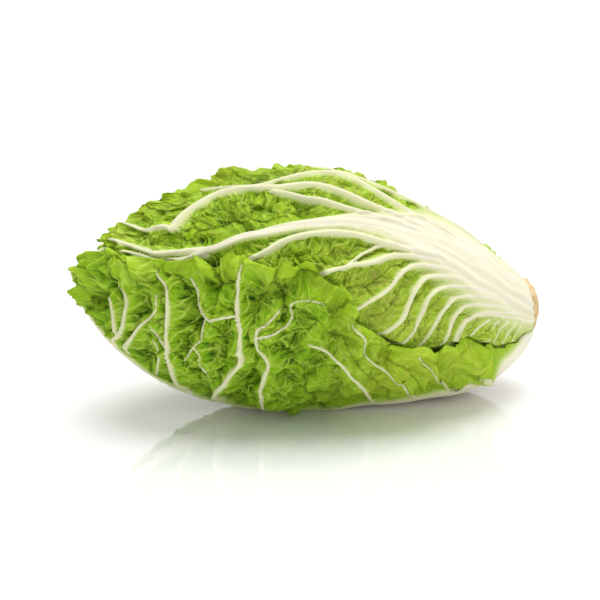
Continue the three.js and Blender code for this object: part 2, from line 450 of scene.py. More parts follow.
def crinkleTree():
    tree = bpy.data.node_groups.new("crinkle", "GeometryNodeTree")
    face = tree.interface
    face.new_socket("Geometry", in_out="INPUT", socket_type="NodeSocketGeometry")
    for label, value in crinkleShape["start"].items():
        face.new_socket(label, in_out="INPUT", socket_type="NodeSocketFloat").default_value = value
    face.new_socket("Leaf Material", in_out="INPUT", socket_type="NodeSocketMaterial")
    face.new_socket("Geometry", in_out="OUTPUT", socket_type="NodeSocketGeometry")
    kit = nodeKit(tree)
    given = kit.add("NodeGroupInput").outputs

    def named(key, kind="FLOAT_VECTOR"):
        return kit.add("GeometryNodeInputNamedAttribute", {"Name": key}, data_type=kind).outputs["Attribute"]

    still, seed = named("still"), given["Seed"]
    pockets = kit.spread(kit.cells(still, given["Pocket Size"], seed), 0.0, crinkleShape["pocketRim"])
    blisters = kit.spread(kit.cells(still, given["Blister Size"], seed), 0.0, crinkleShape["blisterRim"])
    slope = kit.sums("MULTIPLY", kit.folds(still, given["Wrinkle Size"], seed), crinkleShape["wrinkleSlope"])
    depth = kit.sums("ADD", kit.sums("MULTIPLY", pockets, given["Pocket Depth"]),
                     kit.sums("MULTIPLY", blisters, given["Blister Depth"]))
    wrinkles = kit.sums("MULTIPLY", kit.sums("MINIMUM", slope, 1.0), given["Wrinkle Depth"])
    depth = kit.sums("MULTIPLY", kit.sums("ADD", depth, wrinkles), named("slack", "FLOAT"))
    inwards = {"Vector": named("outward"), "Scale": kit.sums("MULTIPLY", depth, -0.001)}  # mm to metres
    shift = kit.add("ShaderNodeVectorMath", inwards, operation="SCALE").outputs["Vector"]
    made = kit.add("GeometryNodeSetPosition", {"Geometry": given["Geometry"], "Offset": shift})
    made = kit.add("GeometryNodeRealizeInstances", {"Geometry": made.outputs["Geometry"]})
    paint = {"Geometry": made.outputs["Geometry"], "Material": given["Leaf Material"]}
    made = kit.add("GeometryNodeSetMaterial", paint)
    kit.add("NodeGroupOutput", {"Geometry": made.outputs["Geometry"]})
    return tree


def throughTree(piece, tree, values, material):
    modifier = piece.modifiers.new("tree", "NODES")
    modifier.node_group = tree
    for item in tree.interface.items_tree:
        if item.item_type == "SOCKET" and item.in_out == "INPUT":
            if item.name in values:
                modifier[item.identifier] = float(values[item.name])
            elif item.socket_type == "NodeSocketMaterial":
                modifier[item.identifier] = material
    seen = piece.evaluated_get(bpy.context.evaluated_depsgraph_get())
    made = bpy.data.meshes.new_from_object(seen)
    piece.modifiers.clear()
    old = piece.data
    piece.data = made
    bpy.data.meshes.remove(old)
    made.name = piece.name
    made.shade_smooth()


def leafVeins(leaf, random):  # chosen ones, small ones off the lowest rib, laterals by rule, and twigs
    veins = [vein(*v) for v in leaf["veins"]]
    if "fineVeins" in leaf:
        fine = leaf["fineVeins"]
        for k in range(fine["count"]):
            t = k / (fine["count"] - 1)
            first = np.array(fine["from"]) * (1 - t) + np.array(fine["to"]) * t
            run = np.array(fine["run"]) * random.uniform(0.6, 1.2, 2)
            spots = [tuple(first + run * u * (1, 0.5 + 0.5 * u)) for u in (0.0, 0.3, 0.65, 1.0)]
            veins.append(vein(spots, fine["width"], fine["height"]))
    if "laterals" in leaf:
        veins += ruleVeins(leaf, random)
    threads = []
    for parent in veins:
        along, around = parent["path"].T
        span = np.ptp(lengthAt(along)) + np.ptp(np.radians(around)) * habit["usualRadius"]
        threads += twigs(parent, random, int(span / leaf["twigEvery"]), leaf["twigReach"])
    return veins, threads


# what all the leaves share, in mm; a pair called from or calm is in degrees along the head
habit = {
    "usualRadius": 60,
    "tipPower": 2.5,  # higher for a squarer tip
    "rimShare": 0.35,  # of its depth that a blade keeps at its edge
    "rimReach": 25,
    "veinProud": 0.9,  # how far a vein may stand out of the shell
    "ribHeight": 0.85,  # of the blade's depth
    "sagFromRib": 5.0,
    "sagFromEdge": 14,
    "slackFromRib": 2.5,
    "crumpleSizes": (34, 17, 8),
    "crumpleEdge": 18,  # the smallest crumples gather within this of the edge
    "ladder": 0.6,
    "ladderSize": 1.3,
    "groove": 0.3,  # along the thick stalk
    "grooveSize": 2.0,
    "grooveLength": 30,
    "grooves": 9,
    "tipCalm": (146, 162),  # the frill dies down between these, along the head
    "swellSize": 24,
    "ruffleSizes": (12, 6.5),
    "tipCrumple": 1.3,
    "tipCrumpleSize": 6,
    "tipCrumpleFrom": (136, 150),
    "pull": 0.35,  # sideways, of the frill's lift
    "pullSize": 17,
    "drift": 1.1,
    "driftSize": 13,
    "scallopSize": 26,
    "closeFrom": (138, 168),
    "raiseFrom": (12, 45),
    "gap": 0.5,  # between one leaf and the next
    "floorGap": 0.05,
    "floorSoft": 4,
    "hollowPasses": 120,
}


def makeLeaf(leaf, tree, material):
    random = np.random.default_rng(leaf["seed"])
    rows, columns = leaf["grid"]
    share, side = np.meshgrid(np.linspace(0, 1, rows + 1), np.linspace(-1, 1, columns + 1), indexing="ij")
    length = leaf["reach"] - leaf["start"]
    along = leaf["start"] + length * share * (1 - leaf["tipRound"] * abs(side) ** habit["tipPower"])
    middle, low, high, halfRib = (valueAt(leaf[key], along) for key in ("midrib", "low", "high", "ribWidth"))
    around = np.where(side < 0, middle + (low - middle) * -side, middle + (high - middle) * side)
    radius = profileRadius(along)
    still = headPoint(along, around)

    def swell(size, number):
        return waves(still, size, leaf["seed"] + number)

    # mm to the leaf's edge
    toSide = (1 - abs(side)) * np.radians(abs(np.where(side < 0, low - middle, high - middle))) * radius
    toTip = (lengthAt(leaf["reach"]) - lengthAt(leaf["start"])) * (1 - share)
    toEdge = np.minimum(toSide, toTip)

    # the veins, and the midrib as a broad plateau
    veins, threads = leafVeins(leaf, random)
    ratio, near, stand, rung = layVeins(veins, along, around)
    threadRatio, _, threadStand, _ = layVeins(threads, along, around)
    thread = np.exp(-threadRatio ** 2)
    offRib = abs(np.radians(around - middle)) * radius
    ribRatio = np.maximum(1 + (offRib - halfRib) / np.minimum(halfRib, leaf["ribSoft"]), 0)
    plateau = 1 / (1 + ribRatio ** 8)
    ratio = np.minimum(ratio, ribRatio)
    near = np.minimum(near, np.maximum(offRib - halfRib, 0))
    onRib = 1 - smooth(ratio, 0.7, 1.5)

    # relief in mm: ribs stand at the shell, the blade lies lower and sags between them
    rim = habit["rimShare"] + (1 - habit["rimShare"]) * smooth(toEdge, 0, habit["rimReach"])
    bladeDepth = leaf["bladeDepth"] * rim
    veinHeight = np.minimum(stand, bladeDepth + habit["veinProud"])
    relief = -bladeDepth + np.maximum(veinHeight, plateau * bladeDepth * habit["ribHeight"])
    sagging = 1 - np.exp(-(near / habit["sagFromRib"]) ** 2)
    relief -= leaf["sag"] * sagging * smooth(toEdge, 0, habit["sagFromEdge"])
    slack = (1 - onRib) * smooth(near, 0, habit["slackFromRib"])
    relief += threadStand * slack
    large, medium, small = habit["crumpleSizes"]
    relief += leaf["crumple"] * swell(large, 1) * (0.15 + 0.85 * slack)
    relief += 0.8 * leaf["crumple"] * swell(medium, 2) * slack
    gathered = 0.15 + 0.6 * np.exp(-toEdge / habit["crumpleEdge"])
    relief += leaf["crumple"] * swell(small, 16) * slack * gathered
    crest = creases(still, leaf["creaseSize"], leaf["seed"] + 9) * slack
    relief += leaf["crease"] * (crest - 0.3 * slack)
    ladder = rung * (1 / leaf["rungs"], 0.2 / leaf["rungs"], 1)
    rungs = waves(ladder, habit["ladderSize"], leaf["seed"] + 10)
    relief += habit["ladder"] * rungs * slack * smooth(near, 1, 4)
    across = np.radians(around - middle) * radius / halfRib * habit["grooves"]
    grain = np.stack([lengthAt(along) / habit["grooveLength"], across, 0 * along], -1)
    relief += habit["groove"] * plateau * waves(grain, habit["grooveSize"], leaf["seed"] + 15)

    # the frill: lifted, waved and pulled about, more towards the edge
    frill = np.exp(-toEdge / leaf["frillReach"]) * smooth(along, *leaf["frillFrom"])
    frill *= 1 - 0.75 * smooth(along, *habit["tipCalm"])
    coarseSize, fineSize = habit["ruffleSizes"]
    ruffle = 0.3 * swell(coarseSize, 4) + 0.15 * swell(fineSize, 14)
    relief += frill * leaf["frill"] * (0.5 + 0.7 * swell(habit["swellSize"], 3) + ruffle)
    tipCrumple = habit["tipCrumple"] * smooth(along, *habit["tipCrumpleFrom"])
    relief += tipCrumple * slack * swell(habit["tipCrumpleSize"], 13)
    pull = frill * leaf["frill"] * habit["pull"]
    drift = habit["drift"] * slack
    alongShift = pull * swell(habit["pullSize"], 5) + drift * swell(habit["driftSize"], 6)
    aroundShift = pull * swell(habit["pullSize"], 7) + drift * swell(habit["driftSize"], 8)
    scallop = np.sqrt(np.minimum(abs(swell(habit["scallopSize"], 12)), 1)) - 0.6
    scallop = frill * leaf["scallop"] * scallop
    aroundShift += np.sign(side) * scallop * smooth(abs(side), 0.3, 0.8)
    alongShift += scallop * smooth(share, 0.8, 0.95)
    for spotAlong, spotAround, size, lift, slide in leaf["lobes"]:  # single large ruffles
        offAlong = lengthAt(along) - lengthAt(spotAlong)
        offAround = np.radians(around - spotAround) * radius
        lobe = np.exp(-(offAlong ** 2 + offAround ** 2) / size ** 2)
        relief += lift * lobe
        aroundShift += slide * lobe
    movedAlong = angleAt(lengthAt(along) + alongShift)
    movedAround = around + np.degrees(aroundShift / np.maximum(radius, 8))

    # under the leaves already laid, and above the floor
    shell = headPoint(movedAlong, movedAround)
    reachOut = np.sum(shell * headNormal(movedAlong, movedAround), -1)
    stalk = plateau * (1 - 0.8 * np.minimum(ribRatio, 1) ** 3)
    thickness = leaf["thin"] + (leaf["thick"] - leaf["thin"]) * stalk
    sizes = leaf["crinkle"]
    crinkled = (sizes["Pocket Depth"] + sizes["Blister Depth"] + sizes["Wrinkle Depth"]) * slack
    closing = 1 - leaf["closing"] * smooth(along, *habit["closeFrom"])
    raised = leaf["raised"] * smooth(along, *habit["raiseFrom"])
    wanted = 1 - layerDepth(leaf["layer"], along) * closing + (relief + raised) / reachOut
    allowed = roofOver(movedAlong, movedAround) - habit["gap"] / reachOut
    depth = np.minimum(wanted, allowed)
    points = shell * depth[..., None]
    floor = -headMiddle[2]
    points[..., 2] = np.maximum(points[..., 2], floor + habit["floorGap"])
    addToRoof(movedAlong, movedAround, depth - (thickness + crinkled) / reachOut)

    normal = headNormal(along, around)
    piece = closedSheet(leaf["name"], points, thickness, normal, {
        "still": still,
        "outward": normal,
        "slack": slack * smooth(points[..., 2], floor, floor + habit["floorSoft"]),
        "rib": ratio,
        "thread": thread,
        # crest also gives the skin a painted highlight along the creases
        "crest": crest,
        # hollow: how far the relief lies below its blurred self; the skin paints shade in hollows and
        # highlight on rises
        "hollow": blurred(relief, habit["hollowPasses"]) - relief,
        "ladder": ladder,
        # sunk: how deep the blade lies, which the skin turns into painted shade
        "sunk": np.clip(-relief / (leaf["bladeDepth"] + leaf["sag"]), 0, 1.4),
        "edge": toEdge,
        "grain": grain,
        "plateau": plateau,
    })
    throughTree(piece, tree, sizes, material)
    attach(piece, "root")
    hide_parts(leaf["name"])
    print(leaf["name"], len(veins), "veins,", len(piece.data.polygons), "faces")


# colour and surface
def colour(red, green, blue):  # from the values as seen on a screen
    return tuple(((c + 0.055) / 1.055) ** 2.4 if c > 0.04 else c / 12.92 for c in (red, green, blue)) + (1.0,)


def shaderGroup(name, inputs, output):  # an input of None is a place, one with a number is a plain value
    kit = nodeKit(bpy.data.node_groups.new(name, "ShaderNodeTree"))
    face = kit.tree.interface
    for label, value in inputs.items():
        if value is None:
            face.new_socket(label, in_out="INPUT", socket_type="NodeSocketVector")
        else:
            face.new_socket(label, in_out="INPUT", socket_type="NodeSocketFloat").default_value = value
    face.new_socket(output, in_out="OUTPUT", socket_type="NodeSocketFloat")
    return kit, kit.add("NodeGroupInput").outputs


def veinletGroup():  # pale lines between cells, the same cells as the crinkle tree's
    kit, given = shaderGroup("veinlets", {"Still": None, "Size": 10.0, "Seed": 3.0, "Width": 0.08}, "Line")
    off = kit.cells(given["Still"], given["Size"], given["Seed"])
    kit.add("NodeGroupOutput", {"Line": kit.spread(off, 0.0, given["Width"], 1.0, 0.0)})
    return kit.tree


def windingGroup():  # winding crests, the same as the crinkle tree's, and rungs that run out from a rib
    kit, given = shaderGroup("windings", {"Where": None, "Size": 1.0, "Seed": 0.0, "Sharpness": 5.0}, "Line")
    off = kit.folds(given["Where"], given["Size"], given["Seed"])
    slope = kit.sums("MULTIPLY", off, given["Sharpness"])
    line = kit.add("ShaderNodeMath", {0: 1.0, 1: slope}, operation="SUBTRACT", use_clamp=True)
    kit.add("NodeGroupOutput", {"Line": line.outputs[0]})
    return kit.tree


def mottleGroup():  # slow drift of tone over a surface, 0 to 1
    kit, given = shaderGroup("mottle", {"Where": None, "Scale": 0.05}, "Tone")
    noise = kit.noise(given["Where"], given["Scale"], 4.0).outputs["Fac"]
    tone = kit.add("ShaderNodeMapRange", {"Value": noise, "From Min": 0.3, "From Max": 0.7})
    kit.add("NodeGroupOutput", {"Tone": tone.outputs["Result"]})
    return kit.tree


def newMaterial(name):
    material = bpy.data.materials.new(name)
    material.use_nodes = True
    material.node_tree.nodes.clear()
    return material, nodeKit(material.node_tree)


def surface(kit, finish, bump=None):  # a Principled shader with this finish, over a bump where there is one
    shader = kit.add("ShaderNodeBsdfPrincipled", finish)
    if bump:
        kit.put(shader.inputs["Normal"], kit.add("ShaderNodeBump", bump).outputs["Normal"])
    kit.add("ShaderNodeOutputMaterial", {"Surface": shader.outputs["BSDF"]})


# washes of tone over the blade are laid in turn, each from a low to a high value of what it follows; along is
# mm from the head's middle towards the base, up is mm above it; the washes of the dark pocket tone are
# painted shade in sunk places, hollows, cell bottoms and low down, and the light washes on rises and crests
# are painted highlight
leafSkin = {
    "toneScale": 0.035,
    "speckScale": 0.3,
    "lineWidth": 0.06,
    "rimWidth": 0.34,
    "fineWidth": 0.1,
    "windingSharpness": 5.0,
    "rungSharpness": 6.0,
    "onRib": (0.7, 1.3, 1.0, 0.0),
    "washes": [
        ("speck", (0.45, 1.0, 0.0, 0.45), "bladeLight"),
        ("along", (-150.0, -124.0, 0.8, 0.0), "tip"),
        # painted shade: the dark pocket tone, darker the deeper the blade lies below its ribs
        ("sunk", (0.6, 1.3, 0.0, 0.8), "paintedShade"),
        # painted shade: the dark pocket tone in the relief's hollows
        ("hollow", (0.0, 1.3, 0.0, 0.9), "paintedShade"),
        # painted highlight: lighter green on the relief's rises
        ("hollow", (-1.4, -0.1, 0.85, 0.0), "bladeLight"),
        # painted shade: the dark pocket tone in the cell bottoms, away from the raised cell walls
        ("rim", (0.0, 0.8, 0.25, 0.0), "paintedShade"),
        # painted shade: darker lower down on the head, where the underside gets less light
        ("up", (-75.0, -30.0, 0.6, 0.0), "paintedShade"),
        ("along", (-30.0, 50.0, 0.0, 0.8), "young"),
        ("edge", (1.0, 18.0, 0.85, 0.0), "edge", "tone", (0.0, 1.0, 0.45, 1.0)),
        ("along", (103.0, 118.0, 0.0, 0.85), "base"),
        ("rib", (0.9, 3.2, 0.55, 0.0), "nearRib"),
        ("winding", (0.75, 1.0, 0.0, 0.55), "veinlet"),
        ("fine", None, "veinlet", "speck", 0.3),
        ("coarse", None, "thread", "tone", (0.0, 0.8, 0.2, 0.8)),
        ("rungs", None, "veinlet", "rib", (1.5, 14.0, 0.7, 0.4)),
        # painted highlight: lighter green along the creases' crests
        ("crest", (0.5, 1.0, 0.0, 0.3), "bladeLight"),
        ("edge", (0.3, 1.7, 0.6, 0.0), "veinlet"),
        ("thread", (0.4, 0.95, 0.0, 0.85), "thread"),
    ],
    "ribShade": (0.35, 0.7),
    "ribFlank": (0.35, 1.1, 0.0, 0.9),
    "ribGreen": (0.2, 0.95, 0.5, 0.0),
    "roughness": (0.3, 0.8, 0.36, 0.5),
    "heights": {"coarse": 0.3, "fine": 0.25, "rungs": 0.5, "grit": 0.5},
    "streakHeight": 0.3,
    "gritScale": 0.5,
    "bumpStrength": 0.9,
    "bumpDistance": 0.001,
    "finish": {"Specular IOR Level": 0.1, "Subsurface Weight": 0.15, "Subsurface Radius": (0.9, 1.0, 0.35),
               "Subsurface Scale": 0.0015},
}


def leafMaterial(name, tones, sizes):
    material, kit = newMaterial(name)
    tones = {key: colour(*value) for key, value in tones.items()}
    still = kit.attribute("still", "Vector")
    place = kit.add("ShaderNodeSeparateXYZ", {0: still}).outputs
    seed = sizes["Seed"]

    def veinlets(size, width):
        return kit.group(groups["veinlets"], "Line", Still=still, Size=size, Seed=seed, Width=width)

    guides = ("rib", "sunk", "edge", "plateau", "hollow", "crest", "thread")
    guide = {key: kit.attribute(key) for key in guides}
    guide["along"], guide["up"] = place["X"], place["Z"]
    guide["coarse"] = veinlets(sizes["Pocket Size"], leafSkin["lineWidth"])
    # the band along the sloped cell walls; away from it the cell bottoms get painted shade
    guide["rim"] = veinlets(sizes["Pocket Size"], leafSkin["rimWidth"])
    guide["fine"] = veinlets(sizes["Blister Size"], leafSkin["fineWidth"])
    guide["winding"] = kit.group(groups["windings"], "Line", Where=still, Size=sizes["Wrinkle Size"],
                                 Seed=seed, Sharpness=leafSkin["windingSharpness"])
    guide["rungs"] = kit.group(groups["windings"], "Line", Where=kit.attribute("ladder", "Vector"),
                               Sharpness=leafSkin["rungSharpness"])
    guide["tone"] = kit.group(groups["mottle"], "Tone", Where=still, Scale=leafSkin["toneScale"])
    guide["speck"] = kit.group(groups["mottle"], "Tone", Where=still, Scale=leafSkin["speckScale"])

    blade = kit.mix(guide["tone"], tones["blade"], tones["bladeLight"])
    for follows, ramp, wash, *held in leafSkin["washes"]:
        mask = kit.spread(guide[follows], *ramp) if ramp else guide[follows]
        if held:  # held back by a second guide, or by a share of it
            other, share = held
            if isinstance(share, tuple):
                holding = kit.spread(guide[other], *share)
            else:
                holding = kit.sums("MULTIPLY", guide[other], share)
            mask = kit.sums("MULTIPLY", mask, holding)
        blade = kit.mix(mask, blade, tones[wash])

    onRib = kit.spread(guide["rib"], *leafSkin["onRib"])
    streaks = kit.noise(kit.attribute("grain", "Vector"), 1.0, 2.0).outputs["Fac"]
    ribTone = kit.mix(kit.spread(streaks, *leafSkin["ribShade"]), tones["rib"], tones["ribShade"])
    ribTone = kit.mix(kit.spread(guide["rib"], *leafSkin["ribFlank"]), ribTone, tones["ribFlank"])
    ribTone = kit.mix(kit.spread(guide["plateau"], *leafSkin["ribGreen"]), ribTone, tones["ribGreen"])

    guide["grit"] = kit.noise(still, leafSkin["gritScale"], 3.0).outputs["Fac"]
    heights = [kit.sums("MULTIPLY", guide[key], share) for key, share in leafSkin["heights"].items()]
    height = heights[0]
    for more in heights[1:]:
        height = kit.sums("ADD", height, more)
    height = kit.sums("MULTIPLY", height, kit.sums("SUBTRACT", 1.0, onRib))
    ribHeight = kit.sums("MULTIPLY", streaks, kit.sums("MULTIPLY", onRib, leafSkin["streakHeight"]))
    bump = {"Height": kit.sums("ADD", height, ribHeight), "Strength": leafSkin["bumpStrength"],
            "Distance": leafSkin["bumpDistance"]}
    finish = {"Base Color": kit.mix(onRib, blade, ribTone),
              "Roughness": kit.spread(streaks, *leafSkin["roughness"])}
    surface(kit, finish | leafSkin["finish"], bump)
    return material


greenTones = {
    "blade": (0.23, 0.47, 0.01),
    "bladeLight": (0.47, 0.67, 0.05),
    # the pocket tone is painted shade, washed into sunk places, hollows, cell bottoms and low down
    "paintedShade": (0.06, 0.26, 0.0),
    "young": (0.80, 0.85, 0.28),
    "base": (0.88, 0.90, 0.60),
    "tip": (0.20, 0.47, 0.17),
    "edge": (0.75, 0.84, 0.22),
    "nearRib": (0.54, 0.72, 0.12),
    "veinlet": (0.64, 0.80, 0.16),
    "thread": (0.76, 0.86, 0.34),
    "rib": (0.95, 0.93, 0.84),
    "ribShade": (0.92, 0.90, 0.78),
    "ribFlank": (0.84, 0.89, 0.56),
    "ribGreen": (0.90, 0.91, 0.70),
}
frontTones = greenTones | {
    "blade": (0.36, 0.46, 0.02),
    "bladeLight": (0.60, 0.67, 0.11),
    "paintedShade": (0.15, 0.27, 0.0),
    "young": (0.84, 0.85, 0.40),
}
paleTones = greenTones | {
    "blade": (0.72, 0.80, 0.32),
    "bladeLight": (0.82, 0.87, 0.44),
    "paintedShade": (0.54, 0.68, 0.16),
}
heartTones = greenTones | {
    "blade": (0.88, 0.88, 0.46),
    "bladeLight": (0.94, 0.91, 0.58),
    "paintedShade": (0.78, 0.80, 0.32),
    "edge": (0.90, 0.89, 0.44),
}

# along and around are in degrees, lengths in mm; a lobe is (along, around, size, lift, slide), and a vein is
# its spots, then a half width and a height at its two ends
usualLeaf = {
    "slot": "outer_leaf",
    "grid": (312, 240),
    "raised": 0.0,
    "frillReach": 9.0,
    "closing": 0.0,
    "rungs": 2.6,
    "scallop": 4.0,
    "thin": 0.8,
    "thick": 3.5,
    "twigReach": 14.0,
    "lobes": [],
    "veins": [],
}
bottomLeaf = usualLeaf | {
    "name": "bottom_leaf",
    "layer": 0,
    "seed": 11,
    "start": 14.0,
    "reach": 168.0,
    "tipRound": 0.04,
    "midrib": [(14, -84), (60, -84), (110, -83), (140, -80), (170, -70)],
    "low": [(14, -148), (38, -150), (46, -160), (62, -172), (90, -186), (120, -190), (150, -196),
            (170, -235)],
    "high": [(14, -17), (24, -14), (33, -15), (40, -17), (48, -13), (58, -11), (70, -14), (78, -12), (84, -5),
             (92, 14), (99, 26), (106, 24), (112, 29), (132, 34), (146, 45), (154, 60), (158, 64), (162, 54),
             (168, 30)],
    "ribWidth": [(14, 26), (30, 48), (40, 50), (48, 42), (60, 37), (70, 32), (80, 24), (92, 13), (110, 8),
                 (140, 4), (168, 2)],
    "ribSoft": 8.0,
    "bladeDepth": 3.0,
    "sag": 3.4,
    "crumple": 1.7,
    "frill": 4.4,
    "frillReach": 10.0,
    "frillFrom": (42, 50),
    "crease": 1.3,
    "creaseSize": 19.0,
    "scallop": 5.0,
    "lobes": [(46, -34, 7, 5, -13), (52, -26, 7, 4, -9), (56, -42, 6, 4, -11), (62, -30, 7, 3, -10),
              (67, -42, 6, 4, -10), (74, -30, 7, 3, -7), (50, -41, 4, 3, -4), (60, -44, 4, 3, -4),
              (70, -45, 4, 3, -4), (128, 12, 10, 2, 4), (112, 18, 9, 2, 4), (99, 16, 10, 3, 3),
              (150, 30, 10, 3, 2), (156, 40, 9, 4, 0), (160, 20, 9, 2, 0)],
    "twigEvery": 5.5,
    "crinkle": crinkles((14.0, 1.0), (4.6, 0.3), (6.5, 0.6), 3.0),
    "laterals": {"sides": (-1,), "count": 13, "first": 40.0, "last": 148.0, "sweep": 20.0},
    "veins": [
        ([(148, -74), (150, -61), (148, -30), (147, -12), (146, 6), (147, 16)], (0.98, 0.6), (2.5, 1.3)),
        ([(150, -48), (151, -30), (152, -14), (153, 0)], (0.84, 0.52), (2.1, 1)),
        ([(144, -70), (146, -50), (142, -18), (138, -5), (136, 2), (136, 12)], (0.98, 0.6), (2.5, 1.1)),
        ([(134, -70), (135, -54), (135, -31), (137, -22)], (0.7, 0.52), (2.1, 1)),
        ([(122, -80), (128, -62), (132, -34), (133, -18), (133, -4), (132, 11), (132, 22), (134, 31)],
         (1.3, 0.68), (3.1, 1.4)),
        ([(132, -28), (136, -16), (138, -12)], (0.63, 0.52), (1.9, 1)),
        ([(112, -86), (118, -62), (117, -40), (114, -23), (114, -11), (114, -2), (115, 6), (114, 16),
          (112, 25)], (1.7, 0.9), (3.6, 1.7)),
        ([(115, 3), (120, 1), (122, 0), (124, 7), (124, 16), (126, 23)], (0.91, 0.6), (2.4, 1.4)),
        ([(123, 0), (124, -12), (126, -18), (128, -30)], (0.63, 0.52), (1.9, 1)),
        ([(126, -18), (124, -23), (124, -29), (121, -38)], (0.63, 0.52), (1.7, 1)),
        ([(98, -86), (105, -62), (108, -36), (107, -24), (108, -18), (110, -12), (110, -4), (107, 1),
          (105, 6)], (1.4, 0.75), (3.2, 1.4)),
        ([(110, -8), (105, -4), (102, 2), (102, 8), (98, 9), (94, 7)], (0.84, 0.52), (2.2, 1.2)),
        ([(76, -70), (82, -44), (87, -30), (93, -16), (98, -11)], (1.3, 0.75), (3.1, 1.4)),
        ([(66, -60), (74, -36), (80, -26), (84, -18), (86, -7), (88, 0)], (0.98, 0.52), (2.7, 1.1)),
        ([(54, -56), (62, -36), (67, -26), (72, -18)], (0.84, 0.52), (2.5, 1)),
    ],
}

frontLeaf = usualLeaf | {
    "name": "front_leaf",
    "layer": 1,
    "seed": 23,
    "start": 17.0,
    "reach": 150.0,
    "tipRound": 0.05,
    "midrib": [(14, 34), (30, 42), (45, 46), (60, 48), (75, 46), (95, 45), (110, 43), (120, 39), (130, 33),
               (154, 26)],
    "low": [(14, -32), (30, -34), (60, -40), (90, -34), (120, -16), (154, -4)],
    "high": [(14, 94), (36, 95), (50, 96), (62, 97), (74, 102), (90, 108), (120, 110), (140, 104), (154, 90)],
    "ribWidth": [(14, 19), (30, 30), (40, 34), (50, 38), (60, 33), (67, 25), (74, 16), (80, 9.5), (90, 5.2),
                 (100, 3.9), (110, 2.9), (122, 2.1), (132, 1.6), (150, 1.0)],
    "ribSoft": 40.0,
    "raised": 4.4,
    "bladeDepth": 4.2,
    "sag": 1.5,
    "crumple": 0.75,
    "frill": 3.8,
    "frillFrom": (45, 90),
    "crease": 0.6,
    "creaseSize": 15.0,
    "rungs": 2.2,
    "lobes": [(96, 57, 9, -4, 0), (106, 58, 10, -4, 0), (116, 57, 9, -3, 0), (92, 32, 9, 1.5, 0),
              (104, 27, 9, 1.5, 0), (34, -12, 12, 3, 0), (48, -8, 13, 3.5, 0), (62, -10, 13, 3.5, 0),
              (75, -4, 12, 3, 0), (147, 62, 11, 4, 0), (148, 40, 9, 4, 0), (143, 84, 10, 3, 0)],
    "thick": 4.0,
    "twigEvery": 4.5,
    "twigReach": 15.0,
    "crinkle": crinkles((11.0, 0.45), (3.6, 0.2), (5.5, 0.4), 7.0),
    "veins": [
        ([(30, 70), (50, 78), (63, 80), (74, 86), (84, 94), (90, 100)], (2.4, 0.9), (4.4, 1.6)),
        ([(40, 62), (56, 60), (68, 62), (76, 72), (83, 84), (90, 84), (97, 80), (105, 77), (112, 84),
          (118, 94)], (3.2, 1.2), (4.8, 2.2)),
        ([(48, 56), (66, 54), (78, 57), (86, 64), (93, 70), (101, 71), (108, 76), (114, 78), (120, 74),
          (126, 67), (130, 59)], (3.4, 2.6), (4.8, 3.6)),
        ([(60, 50), (76, 50), (86, 53), (93, 60), (102, 68)], (3.2, 2.2), (4.8, 4.0)),
        ([(129, 60), (134, 66), (138, 68), (142, 84)], (2.4, 1.2), (3.4, 1.8)),
        ([(120, 39), (130, 41), (136, 43), (141, 51), (147, 66)], (2.8, 1.1), (3.6, 1.6)),
        ([(122, 37), (130, 36), (137, 39), (145, 51)], (2.0, 0.9), (3.0, 1.4)),
        ([(50, 40), (66, 37), (76, 36), (86, 39), (95, 40), (102, 38), (108, 33), (118, 25)],
         (3.3, 1.9), (4.8, 3.0)),
        ([(74, 36), (79, 35), (83, 31), (88, 25)], (1.6, 0.9), (3.0, 1.4)),
        ([(50, 36), (66, 34), (76, 31), (82, 26), (88, 24), (97, 20), (106, 14)], (2.6, 1.2), (4.4, 2.3)),
        ([(46, 33), (62, 31), (71, 28), (76, 20), (79, 13), (84, 7), (90, 0)], (2.3, 1), (4.4, 2.2)),
        ([(42, 30), (58, 28), (67, 24), (71, 16), (73, 9), (75, 2), (79, -6), (84, -14)],
         (2.2, 1), (4.4, 2.2)),
        ([(38, 26), (53, 25), (62, 21), (67, 14), (69, 6), (72, -3), (75, -12), (79, -22)],
         (1.9, 0.94), (4.2, 2)),
        ([(34, 22), (49, 21), (58, 17), (62, 10), (65, 2), (68, -8), (72, -20)], (1.8, 0.79), (4, 1.8)),
        ([(31, 18), (45, 17), (54, 14), (58, 8), (61, 0), (64, -10), (68, -22)], (1.6, 0.79), (3.8, 1.7)),
        ([(28, 14), (40, 13), (49, 11), (54, 6), (57, -2), (60, -11), (63, -22)], (1.4, 0.72), (3.6, 1.6)),
        ([(20, 2), (30, 8), (40, 10), (48, 10), (54, 6), (57, 0), (60, -8), (62, -20)],
         (1.5, 0.72), (3.4, 1.6)),
    ],
    "fineVeins": {"count": 6, "from": (27, 5), "to": (52, 7), "run": (11, -30), "width": (0.8, 0.5),
                  "height": (1.2, 0.6)},
}

